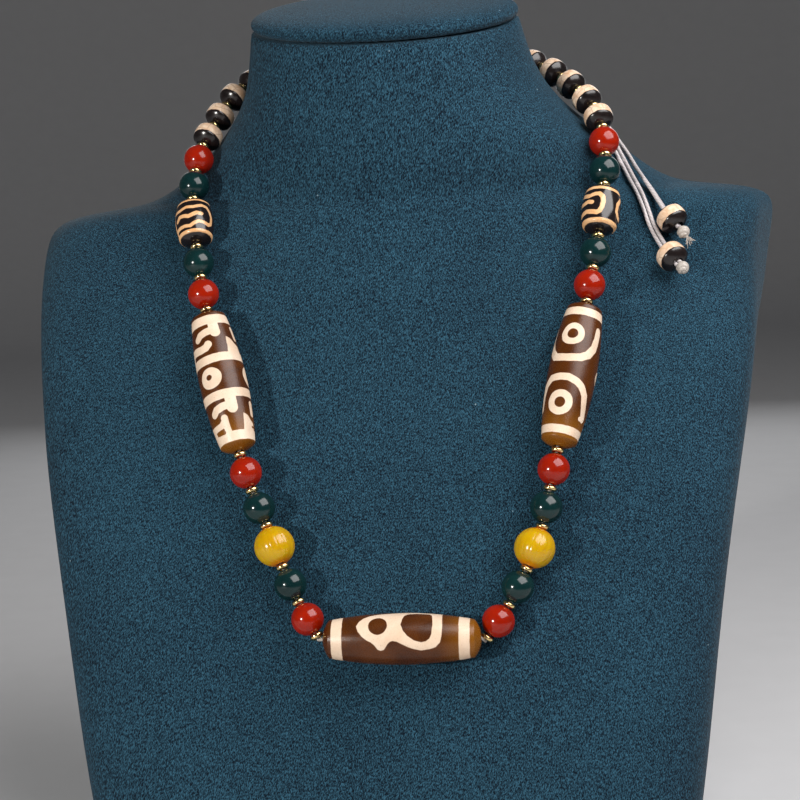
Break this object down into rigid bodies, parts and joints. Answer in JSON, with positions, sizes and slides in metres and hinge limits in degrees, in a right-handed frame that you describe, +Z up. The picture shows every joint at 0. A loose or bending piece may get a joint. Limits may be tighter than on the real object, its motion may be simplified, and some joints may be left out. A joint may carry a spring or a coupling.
{
  "type": "dzi bead necklace on a neck bust",
  "caption": "Beaded necklace of long patterned barrel beads and round beads with two cord tails, worn on a plain cloth-covered neck bust.",
  "frame": {"origin": "middle of the bust's flat base", "axes": "+Z up, -Y to the front of the bust, +X to the right side as seen from the front"},
  "size_m": [0.2075, 0.1217, 0.2254],
  "materials": {
    "bust cloth": "matte",
    "brown dzi agate": "satin",
    "black dzi agate": "polished",
    "red agate": "polished",
    "green agate": "polished",
    "yellow glass": "polished",
    "banded black agate": "polished",
    "pale gold": "polished",
    "silver-grey cord": "satin"
  },
  "bodies": {
    "root": {"bust_body": "bust cloth", "bust_cap": "bust cloth", "center_dzi": "brown dzi agate", "long_dzi_left": "brown dzi agate", "long_dzi_right": "brown dzi agate", "drum_dzi_left": "black dzi agate", "drum_dzi_right": "black dzi agate", "red_left_1": "red agate", "red_left_2": "red agate", "red_left_3": "red agate", "red_left_4": "red agate", "red_right_1": "red agate", "red_right_2": "red agate", "red_right_3": "red agate", "red_right_4": "red agate", "green_left_1": "green agate", "green_left_2": "green agate", "green_left_3": "green agate", "green_left_4": "green agate", "green_right_1": "green agate", "green_right_2": "green agate", "green_right_3": "green agate", "green_right_4": "green agate", "yellow_left": "yellow glass", "yellow_right": "yellow glass", "striped_left_1": "banded black agate", "striped_left_2": "banded black agate", "striped_left_3": "banded black agate", "striped_right_1": "banded black agate", "striped_right_2": "banded black agate", "striped_right_3": "banded black agate", "striped_right_4": "banded black agate", "striped_nape": "banded black agate", "tail_bead_1": "banded black agate", "tail_bead_2": "banded black agate", "spacers_left": "pale gold", "spacers_right": "pale gold", "thread": "silver-grey cord", "nape_knot": "silver-grey cord", "tail_knot_1": "silver-grey cord", "tail_knot_2": "silver-grey cord", "tail_cord_1a": "silver-grey cord", "tail_cord_1b": "silver-grey cord", "tail_cord_2a": "silver-grey cord", "tail_cord_2b": "silver-grey cord"}
  },
  "joints": []
}
